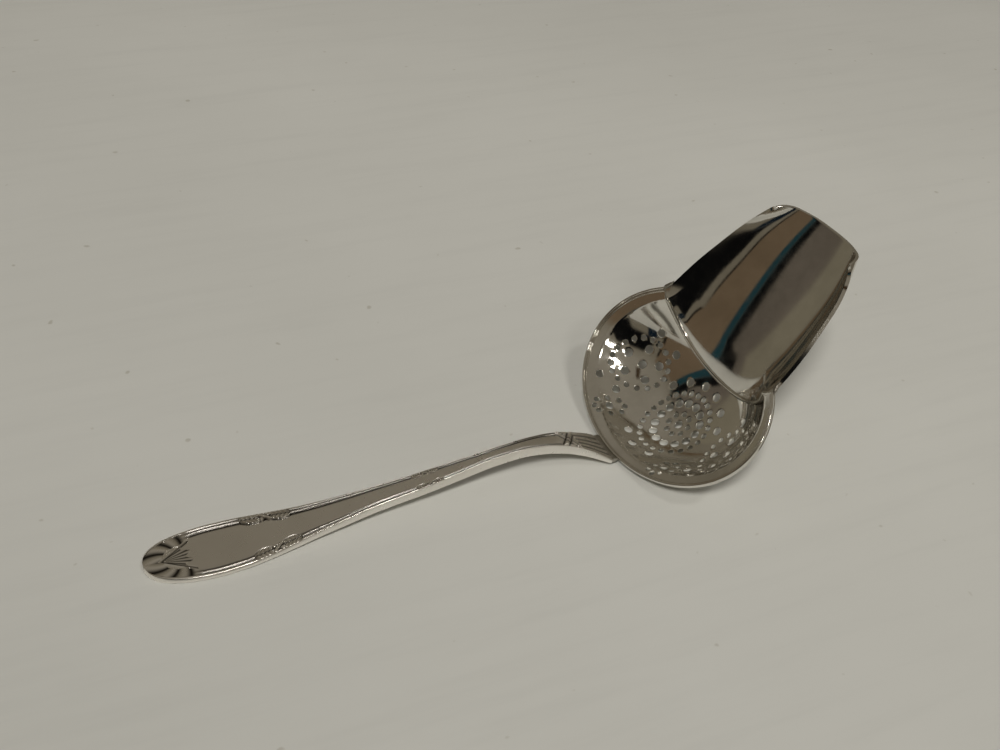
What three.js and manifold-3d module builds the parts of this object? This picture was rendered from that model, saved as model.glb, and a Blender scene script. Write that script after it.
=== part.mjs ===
// Tea strainer spoon: a pierced oval bowl with a flat ledge round its rim, an open
// spout lapped onto one side of it and a flatware handle on the other. Millimetres,
// +Z up. The spoon lies face up, with the handle's tip and the underside of the bowl
// on the plane z = 0. The handle points to -X and the spout to +X, and y = 0 is the
// plane of symmetry.
import * as THREE from 'three';
import { mergeVertices } from 'three/addons/utils/BufferGeometryUtils.js';
import Module from 'manifold-3d';

const wasm = await Module();
wasm.setup();

// driving dimensions, in mm and degrees
const BOWL_HALF_LENGTH = 21.1;      // rim, along the spoon
const BOWL_HALF_WIDTH = 30.0;       // rim, across the spoon
const BOWL_DEPTH = 12.4;            // rim plane to the inside of the floor
const BOWL_PROFILE_POWER = 3.2;     // flat floor and steep wall
const LEDGE_SHARE = 0.885;          // where the wall meets the ledge, as a share of the rim
const LEDGE_DROP = 1.1;
const SHEET = 0.8;                  // thickness of bowl and spout sheet
const HEAD_TILT = 46.2;             // rim plane against the table
const RIM_CENTRE_HEIGHT = 16.7;     // above the table
const RIM_WIDTH = 1.1;
const RIM_HEIGHT = 0.7;
const GAP = 0.3;
const CORNER_ANGLE = 47.1;          // where the spout meets the rim
const SPOUT_END = 46.6;             // mouth corners, measured along the rim plane
const SPOUT_LIP = 2.3;              // the mouth's middle stands further out
const SPOUT_HALF_WIDTH_MID = 19.3;
const SPOUT_HALF_WIDTH_END = 13.2;
const SPOUT_DEPTH_END = 3.6;
const SPOUT_DEPTH_INNER = 9.3;
const SPOUT_REACH = 7.1;            // the spout's inner end, from the bowl's middle
const SPOUT_PROFILE_POWER = 2.3;    // inner end: nearly a round channel
const SPOUT_PROFILE_POWER_END = 4.2; // mouth: flat floor and steep sides
const SPOUT_CORNER_ROUND = 2.5;     // rounding of the mouth's corners
const SPOUT_ROLL = 0.2;             // share of the spout's length that rolls down onto the bowl
const EDGE_RISE = 0.5;              // the spout's edges leave the rim plane by this much
const LAP_STEP = 0.5;               // the spout's inner end stands above the bowl's wall
const BEAD_WIDTH = 1.1;
const BEAD_HEIGHT = 0.55;
const BIG_HOLE = 2.0;
const SMALL_HOLE = 1.3;
const HANDLE_LENGTH = 103.6;
const HANDLE_HALF_WIDTH = 7.4;
const HANDLE_RISE = 7.83;           // arch of the handle above the rim's end
const HANDLE_THICK_TIP = 1.55;
const HANDLE_THICK_NECK = 2.6;
const HANDLE_CLEARANCE = 2.0;       // rim's end to the handle's end

const tilt = THREE.MathUtils.degToRad(HEAD_TILT);
const cornerAngle = THREE.MathUtils.degToRad(CORNER_ANGLE);
const cornerU = BOWL_HALF_LENGTH * Math.cos(cornerAngle);
const cornerV = BOWL_HALF_WIDTH * Math.sin(cornerAngle);

// smooth curve through a short list of stations, with no overshoot
function throughStations(list) {
  const n = list.length;
  const slope = [];
  for (let i = 0; i < n - 1; i++) slope.push((list[i + 1][1] - list[i][1]) / (list[i + 1][0] - list[i][0]));
  const m = [slope[0]];
  for (let i = 1; i < n - 1; i++) {
    m.push(slope[i - 1] * slope[i] <= 0 ? 0 : 2 * slope[i - 1] * slope[i] / (slope[i - 1] + slope[i]));
  }
  m.push(slope[n - 2]);
  return (x) => {
    if (x <= list[0][0]) return list[0][1];
    if (x >= list[n - 1][0]) return list[n - 1][1];
    let i = 0;
    while (x > list[i + 1][0]) i++;
    const h = list[i + 1][0] - list[i][0];
    const t = (x - list[i][0]) / h;
    const a = 1 - t;
    return list[i][1] * (1 + 2 * t) * a * a + m[i] * h * t * a * a
      + list[i + 1][1] * t * t * (3 - 2 * t) - m[i + 1] * h * t * t * a;
  };
}

// head frame: u along the spoon in the rim plane, v across, h square to the rim plane
function headPoint(u, v, h) {
  return new THREE.Vector3(
    u * Math.cos(tilt) - h * Math.sin(tilt),
    v,
    RIM_CENTRE_HEIGHT + u * Math.sin(tilt) + h * Math.cos(tilt));
}

// half width of the head's outline at u
function outline(u) {
  if (u <= cornerU) return BOWL_HALF_WIDTH * Math.sqrt(Math.max(0, 1 - (u / BOWL_HALF_LENGTH) ** 2));
  return spoutHalfWidth(u);
}

const spoutHalfWidth = throughStations([
  [cornerU, cornerV], [cornerU + 1.8, cornerV - 0.5], [cornerU + 5.6, cornerV - 0.8],
  [cornerU + 9.6, SPOUT_HALF_WIDTH_MID + 1.4], [cornerU + 16.5, SPOUT_HALF_WIDTH_MID],
  [SPOUT_END - 10, SPOUT_HALF_WIDTH_END + 4.7], [SPOUT_END - 5, SPOUT_HALF_WIDTH_END + 2.7],
  [SPOUT_END, SPOUT_HALF_WIDTH_END]]);

function edgeHeight(u) {
  return EDGE_RISE * Math.max(0, (u - cornerU) / (SPOUT_END - cornerU));
}

// depth of the bowl at a share r of its rim: floor, wall, then a flat ledge
function dishDepth(r) {
  if (r >= LEDGE_SHARE) return LEDGE_DROP * (1 - r) / (1 - LEDGE_SHARE);
  return LEDGE_DROP + (BOWL_DEPTH - LEDGE_DROP) * (1 - (r / LEDGE_SHARE) ** BOWL_PROFILE_POWER);
}

function bowlHeight(u, v) {
  return -dishDepth(Math.hypot(u / BOWL_HALF_LENGTH, v / BOWL_HALF_WIDTH));
}

function bowlNormal(u, v) {
  const e = 0.02;
  const du = (bowlHeight(u + e, v) - bowlHeight(u - e, v)) / (2 * e);
  const dv = (bowlHeight(u, v + e) - bowlHeight(u, v - e)) / (2 * e);
  return new THREE.Vector3(-du, -dv, 1).normalize();
}

// the spout's inner end in plan: from the corners it swings into the bowl
function lapU(s) {
  return SPOUT_REACH + (cornerU - SPOUT_REACH) * (0.45 * s * s + 0.55 * s ** 4);
}

// upper face of the spout: s runs across from -1 to 1, t from the inner end to the mouth
function spoutPoint(s, t) {
  const edgeU = cornerU + (SPOUT_END - cornerU) * t;
  const mouthU = SPOUT_END + SPOUT_LIP * (1 - Math.abs(s) ** 3);
  const power = SPOUT_PROFILE_POWER + (SPOUT_PROFILE_POWER_END - SPOUT_PROFILE_POWER) * t;
  const depth = SPOUT_DEPTH_INNER + (SPOUT_DEPTH_END - SPOUT_DEPTH_INNER) * t ** 1.3;
  const free = edgeHeight(edgeU) - depth * (1 - Math.abs(s) ** power);
  const onBowl = bowlHeight(lapU(s), s * cornerV) + LAP_STEP * (1 - s ** 8);
  const atLap = -SPOUT_DEPTH_INNER * (1 - Math.abs(s) ** SPOUT_PROFILE_POWER);
  const roll = Math.max(0, 1 - t / SPOUT_ROLL) ** 2;
  const cut = SPOUT_CORNER_ROUND * Math.max(0, 4 * Math.abs(s) - 3) ** 3 * t ** 8;
  return new THREE.Vector3(
    lapU(s) * (1 - t) + mouthU * t - cut,
    s * spoutHalfWidth(edgeU),
    free + (onBowl - atLap) * roll);
}

function spoutNormal(s, t) {
  const e = 0.002;
  const s0 = Math.max(-1, s - e);
  const s1 = Math.min(1, s + e);
  const t0 = Math.max(0, t - e);
  const t1 = Math.min(1, t + e);
  const across = spoutPoint(s1, t).sub(spoutPoint(s0, t));
  const along = spoutPoint(s, t1).sub(spoutPoint(s, t0));
  return along.cross(across).normalize();
}

function toManifold(geometry) {
  const g = geometry.clone();
  g.deleteAttribute('normal');
  g.deleteAttribute('uv');
  const merged = mergeVertices(g, 1e-4);
  return new wasm.Manifold(new wasm.Mesh({
    numProp: 3,
    vertProperties: new Float32Array(merged.attributes.position.array),
    triVerts: new Uint32Array(merged.index.array) }));
}

function fromManifold(cut) {
  const solid = cut.asOriginal().simplify(0.02);
  const mesh = solid.getMesh();
  const g = new THREE.BufferGeometry();
  g.setAttribute('position', new THREE.BufferAttribute(new Float32Array(mesh.vertProperties), 3));
  g.setIndex(new THREE.BufferAttribute(new Uint32Array(mesh.triVerts), 1));
  return g;
}

// closed solid from rings of points; every ring has the same count
function loft(rings, closedLoop) {
  const n = rings[0].length;
  const position = [];
  for (const ring of rings) for (const p of ring) position.push(p.x, p.y, p.z);
  const index = [];
  const id = (i, j) => i * n + (j % n);
  const last = closedLoop ? rings.length : rings.length - 1;
  for (let i = 0; i < last; i++) {
    const k = (i + 1) % rings.length;
    for (let j = 0; j < n; j++) {
      index.push(id(i, j), id(i, j + 1), id(k, j + 1));
      index.push(id(i, j), id(k, j + 1), id(k, j));
    }
  }
  if (!closedLoop) {
    for (let j = 1; j < n - 1; j++) {
      index.push(id(0, 0), id(0, j + 1), id(0, j));
      index.push(id(rings.length - 1, 0), id(rings.length - 1, j), id(rings.length - 1, j + 1));
    }
  }
  return tidy(position, index);
}

// drops triangles with no area and turns the faces outward
function tidy(position, index) {
  let g = new THREE.BufferGeometry();
  g.setAttribute('position', new THREE.BufferAttribute(new Float32Array(position), 3));
  g.setIndex(index);
  g = mergeVertices(g, 1e-4);
  const kept = [];
  const p = g.attributes.position;
  const a = new THREE.Vector3();
  const b = new THREE.Vector3();
  const c = new THREE.Vector3();
  let volume = 0;
  for (let i = 0; i < g.index.count; i += 3) {
    const t = [g.index.getX(i), g.index.getX(i + 1), g.index.getX(i + 2)];
    if (t[0] === t[1] || t[1] === t[2] || t[2] === t[0]) continue;
    kept.push(t);
    a.fromBufferAttribute(p, t[0]);
    b.fromBufferAttribute(p, t[1]);
    c.fromBufferAttribute(p, t[2]);
    volume += a.dot(b.cross(c)) / 6;
  }
  const flat = [];
  for (const t of kept) flat.push(...(volume < 0 ? [t[0], t[2], t[1]] : t));
  g.setIndex(flat);
  return g;
}

// a sheet between two surfaces given on the same grid of rows and columns
function sheetSolid(upper, lower) {
  const rows = upper.length;
  const cols = upper[0].length;
  const position = [];
  for (const side of [upper, lower]) for (const row of side) for (const q of row) position.push(q.x, q.y, q.z);
  const id = (s, i, j) => (s * rows + i) * cols + j;
  const index = [];
  const quad = (a, b, c, d) => index.push(a, b, c, a, c, d);
  for (let i = 0; i < rows - 1; i++) {
    for (let j = 0; j < cols - 1; j++) {
      quad(id(0, i, j), id(0, i + 1, j), id(0, i + 1, j + 1), id(0, i, j + 1));
      quad(id(1, i, j), id(1, i, j + 1), id(1, i + 1, j + 1), id(1, i + 1, j));
    }
  }
  for (let i = 0; i < rows - 1; i++) {
    quad(id(0, i, 0), id(1, i, 0), id(1, i + 1, 0), id(0, i + 1, 0));
    quad(id(0, i, cols - 1), id(0, i + 1, cols - 1), id(1, i + 1, cols - 1), id(1, i, cols - 1));
  }
  for (let j = 0; j < cols - 1; j++) {
    quad(id(0, 0, j), id(0, 0, j + 1), id(1, 0, j + 1), id(1, 0, j));
    quad(id(0, rows - 1, j), id(1, rows - 1, j), id(1, rows - 1, j + 1), id(0, rows - 1, j + 1));
  }
  return tidy(position, index);
}

// share of the rim ellipse that lies inward of it by this many millimetres
function insetShare(c, s, inset) {
  const r = Math.hypot(BOWL_HALF_LENGTH * c, BOWL_HALF_WIDTH * s);
  return 1 - inset / r;
}

const bowlInset = RIM_WIDTH + GAP;
const bowlShares = [0.22, 0.40, 0.54, 0.66, 0.76, 0.83, LEDGE_SHARE - 0.012, LEDGE_SHARE + 0.012];

// pair of points on the upper and lower face of the bowl's sheet
function bowlPair(u, v) {
  const h = bowlHeight(u, v);
  const n = bowlNormal(u, v);
  return [headPoint(u, v, h), headPoint(u - n.x * SHEET, v - n.y * SHEET, h - n.z * SHEET)];
}

// the whole oval dish on rings about its middle; the spout's side is cut away later
function dishSolid() {
  const spokes = 84;
  const top = [];
  const bottom = [];
  const shares = [0, ...bowlShares, 1];
  for (const share of shares) {
    const a = [];
    const b = [];
    for (let j = 0; j < spokes; j++) {
      const c = Math.cos(2 * Math.PI * j / spokes);
      const s = Math.sin(2 * Math.PI * j / spokes);
      const r = share === 1 ? insetShare(c, s, bowlInset) : share;
      const [p, q] = bowlPair(BOWL_HALF_LENGTH * r * c, BOWL_HALF_WIDTH * r * s);
      a.push(p);
      b.push(q);
    }
    top.push(a);
    bottom.push(b);
  }
  return loft([...bottom, ...top.reverse()], false);
}

// slab that holds everything on the spout's side of the lap line
function beyondLap(back) {
  const rows = [];
  const cols = 28;
  for (const h of [-40, 40]) {
    const list = [];
    for (const far of [0, 1]) {
      const row = [];
      for (let j = 0; j <= cols; j++) {
        const s = -1.6 + 3.2 * j / cols;
        const inside = Math.min(1, Math.max(-1, s));
        const u = far ? 90 : lapU(inside) + back + Math.max(0, Math.abs(s) - 1) * 8;
        row.push(headPoint(u, s * cornerV, h));
      }
      list.push(row);
    }
    rows.push(list);
  }
  return sheetSolid(rows[1], rows[0]);
}

// spout sheet between two offsets along its normal; grow widens it at the ends
function spoutSolid(above, below, grow) {
  const rowsT = [0, 0.03, 0.07, 0.11, 0.155, 0.2, 0.28, 0.38, 0.5, 0.63, 0.76, 0.88, 0.95, 1];
  const cols = 26;
  const upper = [];
  const lower = [];
  for (const t of rowsT) {
    const a = [];
    const b = [];
    for (let j = 0; j <= cols; j++) {
      const s = Math.sin((j / cols - 0.5) * Math.PI) * 0.994;
      const p = spoutPoint(s, t);
      const n = spoutNormal(s, t);
      const out = grow * (t === 0 ? -1 : t === 1 ? 1 : 0);
      const side = grow * (j === 0 ? -1 : j === cols ? 1 : 0);
      a.push(headPoint(p.x + n.x * above + out, p.y + n.y * above + side, p.z + n.z * above));
      b.push(headPoint(p.x - n.x * below + out, p.y - n.y * below + side, p.z - n.z * below));
    }
    upper.push(a);
    lower.push(b);
  }
  return sheetSolid(upper, lower);
}

// piercing: rings of holes laid out on the flat for a bowl of 42.2 by 60 mm, then
// stretched with the bowl and bent into it
function holeList() {
  const list = [];
  const add = (u, flat, size) => {
    let v = flat;
    for (let k = 0; k < 6; k++) v = flat / (1 + 0.13 * Math.abs(v / 30) ** 3);
    const clear = (q) => Math.hypot(q.u - u, q.v - v) > (q.size + size) / 2 + 0.3;
    if (list.every(clear)) list.push({ u, v, size });
  };
  const ring = (cu, cv, radius, count, start, size) => {
    for (let k = 0; k < count; k++) {
      const a = THREE.MathUtils.degToRad(start + 360 * k / count);
      add(cu + radius * Math.cos(a), cv + radius * Math.sin(a), size);
    }
  };
  const arc = (cu, cv, radius, angles, side, size) => {
    for (const deg of angles) {
      const a = THREE.MathUtils.degToRad(deg);
      add(cu + radius * Math.cos(a), cv + side * radius * Math.sin(a), size);
    }
  };
  const middle = -6.7;
  add(middle, 0, BIG_HOLE);
  ring(middle, 0, 2.75, 8, 22.5, SMALL_HOLE);
  ring(middle, 0, 5.6, 14, 0, BIG_HOLE);
  ring(middle, 0, 8.1, 25, 0, SMALL_HOLE);
  arc(middle, 0, 10.9, [-60, -48, -36, -24, -12, 0, 12, 24, 36, 48, 60], 1, BIG_HOLE);
  arc(middle, 0, 9.9, [-152, -126, -100, 100, 126, 152, 180], 1, BIG_HOLE);
  for (const side of [-1, 1]) {
    const across = side * 18.7;
    add(-3, across, BIG_HOLE);
    for (let k = 0; k < 5; k++) arc(-3, across, 4.0, [21 + 72 * k], side, BIG_HOLE);
    for (let k = 0; k < 18; k++) arc(-3, across, 6.3, [20 * k], side, SMALL_HOLE);
    arc(-3, across, 8.6, [-32, 8, 165, 196], side, BIG_HOLE);
    add(-14.8, side * 12.4, BIG_HOLE);
    ring(-14.8, side * 12.4, 2.4, 8, 22.5, SMALL_HOLE);
  }
  const stretchU = BOWL_HALF_LENGTH / 21.1;
  const stretchV = BOWL_HALF_WIDTH / 30;
  return list.map(({ u, v, size }) => ({ u: u * stretchU, v: v * stretchV, size }));
}

function piercings() {
  const tools = [];
  for (const hole of holeList()) {
    const n = bowlNormal(hole.u, hole.v);
    const h = bowlHeight(hole.u, hole.v);
    const sides = hole.size > 1.6 ? 6 : 5;
    const g = new THREE.CylinderGeometry(hole.size / 2, hole.size / 2, SHEET * 3, sides);
    const centre = headPoint(hole.u - n.x * SHEET / 2, hole.v - n.y * SHEET / 2, h - n.z * SHEET / 2);
    const far = headPoint(hole.u + n.x, hole.v + n.y, h + n.z);
    const near = headPoint(hole.u, hole.v, h);
    const axis = far.sub(near).normalize();
    g.applyQuaternion(new THREE.Quaternion().setFromUnitVectors(new THREE.Vector3(0, 1, 0), axis));
    g.translate(centre.x, centre.y, centre.z);
    tools.push(toManifold(g));
  }
  return wasm.Manifold.union(tools);
}

// bowl and spout
const spout = spoutSolid(0, SHEET, 0);
const spoutKeepOut = toManifold(spoutSolid(GAP, SHEET + GAP, GAP));
const bowl = fromManifold(toManifold(dishSolid())
  .subtract(toManifold(beyondLap(-GAP / 2)))
  .subtract(spoutKeepOut)
  .subtract(piercings()));

// applied rim, from one corner of the spout round the handle side to the other
function rimGeometry() {
  const rings = [];
  const steps = 56;
  const start = cornerAngle + 0.05;
  for (let i = 0; i <= steps; i++) {
    const t = start + (2 * Math.PI - 2 * start) * (i / steps);
    const c = Math.cos(t);
    const s = Math.sin(t);
    const out = new THREE.Vector2(c / BOWL_HALF_LENGTH, s / BOWL_HALF_WIDTH).normalize();
    const u = BOWL_HALF_LENGTH * c;
    const v = BOWL_HALF_WIDTH * s;
    const ring = [];
    const low = -RIM_HEIGHT * 0.45;
    const high = low + RIM_HEIGHT;
    const shape = [[0.2, low], [RIM_WIDTH - 0.2, low], [RIM_WIDTH, (low + high) / 2], [RIM_WIDTH - 0.25, high],
      [0.25, high], [0, (low + high) / 2]];
    for (const [inward, h] of shape) ring.push(headPoint(u - out.x * inward, v - out.y * inward, h));
    rings.push(ring);
  }
  return loft(rings, false);
}

// solder bead along the lap, on top of the joint between bowl and spout
function lapBead() {
  const rings = [];
  const steps = 44;
  for (let i = 0; i <= steps; i++) {
    const s = -0.9 + 1.8 * i / steps;
    const p = spoutPoint(s, 0);
    const n = spoutNormal(s, 0).add(bowlNormal(lapU(s), s * cornerV)).normalize();
    const e = 0.01;
    const run = spoutPoint(s + e, 0).sub(spoutPoint(s - e, 0)).normalize();
    const across = new THREE.Vector3().crossVectors(run, n).normalize();
    const ring = [];
    for (const [w, k] of [[-0.5, 0], [0.5, 0], [0.5, 0.45], [0.22, 1], [-0.22, 1], [-0.5, 0.45]]) {
      const q = p.clone().addScaledVector(across, w * BEAD_WIDTH).addScaledVector(n, GAP + 0.12 + k * BEAD_HEIGHT);
      ring.push(headPoint(q.x, q.y, q.z));
    }
    rings.push(ring);
  }
  return loft(rings, false);
}

// solder at the corners, where the spout's edge meets the rim's end
function cornerSolder(side) {
  const rings = [];
  for (let i = 0; i <= 5; i++) {
    const u = cornerU - 0.5 + 2.8 * i / 5;
    const v = outline(u) + GAP + 0.2;
    const fade = 1 - 0.5 * i / 5;
    const ring = [];
    for (const [w, h] of [[0, -0.55], [0.55, -0.35], [0.6, 0.1], [0, 0.3]]) {
      ring.push(headPoint(u, side * (v + w * fade), edgeHeight(u) - 0.1 + h));
    }
    rings.push(ring);
  }
  return loft(rings, false);
}

// handle: shares of its length from the tip, with shares of its width and rise. Its
// end keeps a clearance from the rim's end, and everything else follows
const rimEnd = headPoint(-BOWL_HALF_LENGTH, 0, 0);
const handleEnd = rimEnd.x - HANDLE_CLEARANCE;
const widthShare = throughStations([
  [0, 0.122], [0.0048, 0.324], [0.0193, 0.581], [0.0483, 0.811], [0.0888, 0.946], [0.1371, 1],
  [0.1853, 0.973], [0.2336, 0.878], [0.2819, 0.757], [0.3301, 0.635], [0.388, 0.527],
  [0.4556, 0.426], [0.5232, 0.372], [0.5811, 0.338], [0.6486, 0.284], [0.7162, 0.236],
  [0.7741, 0.236], [0.8417, 0.284], [0.8996, 0.365], [0.9479, 0.473], [0.9788, 0.581],
  [1, 0.662]]);
const riseShare = throughStations([
  [0, 0.055], [0.0792, 0.055], [0.1564, 0.068], [0.2529, 0.132], [0.3494, 0.259],
  [0.4653, 0.451], [0.5811, 0.63], [0.6776, 0.821], [0.7452, 0.949], [0.8031, 1],
  [0.8514, 0.962], [0.8996, 0.834], [0.9431, 0.604], [0.9768, 0.374], [1, 0.183]]);
const handleThick = throughStations([
  [0, HANDLE_THICK_TIP], [0.156, HANDLE_THICK_TIP],
  [0.388, HANDLE_THICK_TIP + 0.43 * (HANDLE_THICK_NECK - HANDLE_THICK_TIP)], [0.745, HANDLE_THICK_NECK],
  [0.871, HANDLE_THICK_NECK], [0.967, HANDLE_THICK_TIP + 0.33 * (HANDLE_THICK_NECK - HANDLE_THICK_TIP)],
  [1, HANDLE_THICK_TIP * 0.97]]);

function handlePoint(k, y, d) {
  const e = 0.0005;
  const slope = (riseShare(k + e) - riseShare(k - e)) * HANDLE_RISE / (2 * e * HANDLE_LENGTH);
  const n = new THREE.Vector2(-slope, 1).normalize();
  const x = handleEnd - HANDLE_LENGTH * (1 - k);
  return new THREE.Vector3(x + n.x * d, y, rimEnd.z + HANDLE_RISE * riseShare(k) + n.y * d);
}

function handleGeometry() {
  const stations = [0, 0.003, 0.009, 0.019, 0.035, 0.056, 0.084, 0.118, 0.152, 0.185, 0.219, 0.253, 0.287,
    0.32, 0.354, 0.398, 0.446, 0.494, 0.542, 0.591, 0.639, 0.678, 0.716, 0.745, 0.774,
    0.803, 0.832, 0.861, 0.89, 0.914, 0.938, 0.958, 0.974, 0.986, 1];
  const rings = [];
  for (const k of stations) {
    const w = HANDLE_HALF_WIDTH * widthShare(k);
    const t = handleThick(k);
    const border = Math.min(0.35, w * 0.15);
    const shape = [[-w * 0.97, -t * 0.72], [-w * 0.72, -t], [w * 0.72, -t], [w * 0.97, -t * 0.72],
      [w, -t * 0.28], [w * 0.93, 0], [w * 0.66, -border * 0.15], [w * 0.5, -border], [-w * 0.5, -border],
      [-w * 0.66, -border * 0.15], [-w * 0.93, 0], [-w, -t * 0.28]];
    rings.push(shape.map(([y, d]) => handlePoint(k, y, d)));
  }
  return loft(rings, false);
}

// solder fillet between the handle's end and the rim
function handleSolder() {
  const rings = [];
  for (let i = 0; i <= 8; i++) {
    const y = -4.4 + 8.8 * (i / 8);
    const rimX = headPoint(-BOWL_HALF_LENGTH * Math.sqrt(1 - (y / BOWL_HALF_WIDTH) ** 2), y, 0);
    const near = rimX.x - 0.45;
    const far = handleEnd + 0.35;
    const z = rimX.z;
    rings.push([
      new THREE.Vector3(far, y, z - 0.2), new THREE.Vector3(near, y, z - 0.2),
      new THREE.Vector3(near, y, z + 0.7), new THREE.Vector3(far, y, z + 1.1)]);
  }
  return loft(rings, false);
}

const silver = new THREE.MeshStandardMaterial({ color: 0xb9b6ae, roughness: 0.16, metalness: 1 });
const satin = new THREE.MeshStandardMaterial({ color: 0xa9a69d, roughness: 0.34, metalness: 1 });
const solder = new THREE.MeshStandardMaterial({ color: 0x8d897f, roughness: 0.42, metalness: 1 });

const pieces = [
  ['bowl', bowl, silver],
  ['bowl_rim', rimGeometry(), silver],
  ['spout', spout, silver],
  ['lap_solder', lapBead(), solder],
  ['corner_solder_near', cornerSolder(-1), solder],
  ['corner_solder_far', cornerSolder(1), solder],
  ['handle', handleGeometry(), satin],
  ['handle_solder', handleSolder(), solder]];

const bounds = new THREE.Box3();
for (const [, geometry] of pieces) {
  geometry.computeBoundingBox();
  bounds.union(geometry.boundingBox);
}
const spoon = new THREE.Group();
for (const [name, geometry, material] of pieces) {
  const shifted = geometry.clone();
  shifted.translate(-(bounds.min.x + bounds.max.x) / 2, 0, -bounds.min.z);
  shifted.computeVertexNormals();
  const mesh = new THREE.Mesh(shifted, material);
  mesh.name = name;
  spoon.add(mesh);
}

export default spoon;
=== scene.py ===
import math

import bpy
import numpy as np
from mathutils import Matrix, Vector
from mathutils.geometry import delaunay_2d_cdt


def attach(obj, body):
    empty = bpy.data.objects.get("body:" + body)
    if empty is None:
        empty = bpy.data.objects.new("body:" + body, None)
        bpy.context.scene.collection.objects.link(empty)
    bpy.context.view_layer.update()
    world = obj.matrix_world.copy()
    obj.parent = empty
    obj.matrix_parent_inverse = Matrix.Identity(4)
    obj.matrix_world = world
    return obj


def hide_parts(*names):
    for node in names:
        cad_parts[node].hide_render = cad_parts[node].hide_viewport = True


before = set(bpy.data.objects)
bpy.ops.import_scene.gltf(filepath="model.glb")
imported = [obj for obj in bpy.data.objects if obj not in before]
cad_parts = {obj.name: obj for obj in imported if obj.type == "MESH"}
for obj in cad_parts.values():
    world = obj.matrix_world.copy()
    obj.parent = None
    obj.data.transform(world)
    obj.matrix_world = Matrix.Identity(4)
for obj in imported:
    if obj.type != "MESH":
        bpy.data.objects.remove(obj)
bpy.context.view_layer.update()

# The spoon's own sizes are in millimetres; meshes are written in metres.
MM = 0.001
BOWL_HALF_LENGTH = 21.1
BOWL_HALF_WIDTH = 30.0
BOWL_DEPTH = 12.4
BOWL_PROFILE_POWER = 3.2
LEDGE_SHARE = 0.885
LEDGE_DROP = 1.1
SHEET = 0.8
TILT = math.radians(46.2)
RIM_CENTRE_HEIGHT = 16.375
HEAD_SHIFT = 41.725
CORNER_ANGLE = math.radians(47.1)
SPOUT_END = 46.6
SPOUT_LIP = 2.3
SPOUT_HALF_WIDTH_MID = 19.3
SPOUT_HALF_WIDTH_END = 13.2
SPOUT_DEPTH_END = 3.6
SPOUT_DEPTH_INNER = 9.3
SPOUT_REACH = 7.1
SPOUT_PROFILE_POWER = 2.3
SPOUT_PROFILE_POWER_END = 4.2
SPOUT_CORNER_ROUND = 2.5
SPOUT_ROLL = 0.2
EDGE_RISE = 0.5
LAP_STEP = 0.5
BIG_HOLE = 2.0
SMALL_HOLE = 1.3
# a hole's rounded edge, from face to back: how much wider than the hole, and how deep
HOLE_EDGE = ((0.035, 0.012), (0.008, 0.045), (0.0, 0.12), (0.0, SHEET - 0.1), (0.05, SHEET - 0.01))
CORNER_U = BOWL_HALF_LENGTH * math.cos(CORNER_ANGLE)
CORNER_V = BOWL_HALF_WIDTH * math.sin(CORNER_ANGLE)


# curves and frames

def through(stations):
    """Smooth curve through stations, without overshoot, that also takes arrays."""
    pts = np.array(stations, float)
    xs, ys = pts[:, 0], pts[:, 1]
    slope = np.diff(ys) / np.diff(xs)
    m = np.zeros(len(xs))
    m[0], m[-1] = slope[0], slope[-1]
    for i in range(1, len(xs) - 1):
        a, b = slope[i - 1], slope[i]
        m[i] = 0 if a * b <= 0 else 2 * a * b / (a + b)

    def curve(x):
        x = np.clip(np.asarray(x, float), xs[0], xs[-1])
        i = np.clip(np.searchsorted(xs, x, side="right") - 1, 0, len(xs) - 2)
        h = xs[i + 1] - xs[i]
        t = (x - xs[i]) / h
        a = 1 - t
        return (ys[i] * (1 + 2 * t) * a * a + m[i] * h * t * a * a
                + ys[i + 1] * t * t * (3 - 2 * t) - m[i + 1] * h * t * t * a)
    return curve


def head(u, v, h):
    """Head frame to row frame: u along the spoon in the rim plane, v across, h square to it."""
    u, v, h = np.broadcast_arrays(u, v, h)
    x = u * math.cos(TILT) - h * math.sin(TILT) + HEAD_SHIFT
    z = u * math.sin(TILT) + h * math.cos(TILT) + RIM_CENTRE_HEIGHT
    return np.stack([x, v, z], -1)


spout_half_width = through([
    (CORNER_U, CORNER_V), (CORNER_U + 1.8, CORNER_V - 0.5), (CORNER_U + 5.6, CORNER_V - 0.8),
    (CORNER_U + 9.6, SPOUT_HALF_WIDTH_MID + 1.4), (CORNER_U + 16.5, SPOUT_HALF_WIDTH_MID),
    (SPOUT_END - 10, SPOUT_HALF_WIDTH_END + 4.7), (SPOUT_END - 5, SPOUT_HALF_WIDTH_END + 2.7),
    (SPOUT_END, SPOUT_HALF_WIDTH_END)])


def bowl_height(u, v):
    """Inside of the bowl below the rim plane: floor, steep wall, then the ledge."""
    r = np.hypot(np.asarray(u, float) / BOWL_HALF_LENGTH, np.asarray(v, float) / BOWL_HALF_WIDTH)
    ledge = LEDGE_DROP * (1 - r) / (1 - LEDGE_SHARE)
    share = np.minimum(r / LEDGE_SHARE, 1)
    wall = LEDGE_DROP + (BOWL_DEPTH - LEDGE_DROP) * (1 - share ** BOWL_PROFILE_POWER)
    return -np.where(r >= LEDGE_SHARE, ledge, wall)


def bowl_normal(u, v):
    e = 0.05
    du = (bowl_height(u + e, v) - bowl_height(u - e, v)) / (2 * e)
    dv = (bowl_height(u, v + e) - bowl_height(u, v - e)) / (2 * e)
    n = np.stack(np.broadcast_arrays(-du, -dv, np.ones_like(du)), -1)
    return n / np.linalg.norm(n, axis=-1, keepdims=True)


def lap_u(s):
    """The spout's inner end in plan: from the corners it swings into the bowl."""
    s = np.minimum(np.abs(s), 1)
    return SPOUT_REACH + (CORNER_U - SPOUT_REACH) * (0.45 * s ** 2 + 0.55 * s ** 4)


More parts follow.
